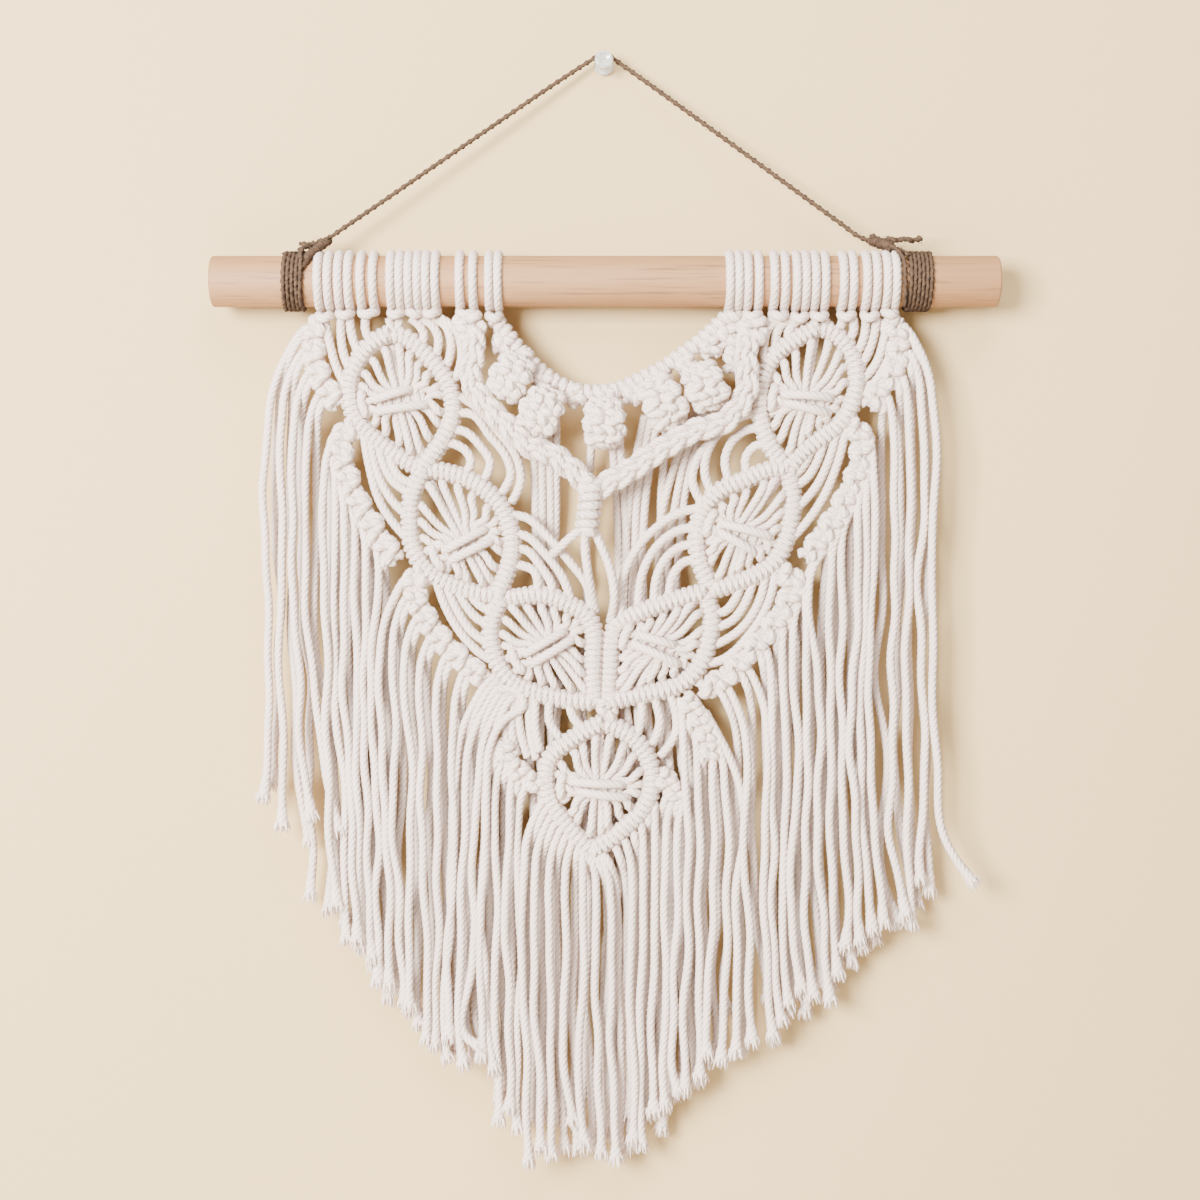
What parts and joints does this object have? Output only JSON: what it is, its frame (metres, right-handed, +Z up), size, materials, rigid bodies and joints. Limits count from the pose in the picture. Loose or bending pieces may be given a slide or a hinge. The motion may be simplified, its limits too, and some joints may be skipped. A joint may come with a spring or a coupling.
{
  "type": "macrame wall hanging on a wooden dowel with a push pin",
  "caption": "Knotted cotton cord hanging with leaf-shaped rings, rolled knots, plaits and a long pointed fringe, on a round dowel hung by jute twine from a clear push pin.",
  "frame": {"origin": "centre of the push pin's base flange, on the wall", "axes": "+Z up, +Y into the wall, +X to the right of a viewer who faces the hanging"},
  "size_m": [0.393, 0.0345, 0.5583],
  "materials": {
    "cotton": "soft three-ply twisted cotton cord, matt",
    "jute": "two-ply jute twine with loose fibres, matt",
    "pine": "sanded unfinished softwood with fine straight grain",
    "clear_plastic": "clear moulded plastic, glossy"
  },
  "bodies": {
    "root": {"dowel": "pine", "push_pin": "clear_plastic", "hanger_twine": "jute", "twine_wrap_left": "jute", "twine_wrap_right": "jute", "net_left": "cotton", "net_right": "cotton", "braid_yoke": "cotton", "collar": "cotton", "pendant": "cotton", "fringe_left_1": "cotton", "fringe_left_2": "cotton", "fringe_left_3": "cotton", "fringe_right_1": "cotton", "fringe_right_2": "cotton", "fringe_right_3": "cotton"}
  },
  "joints": []
}
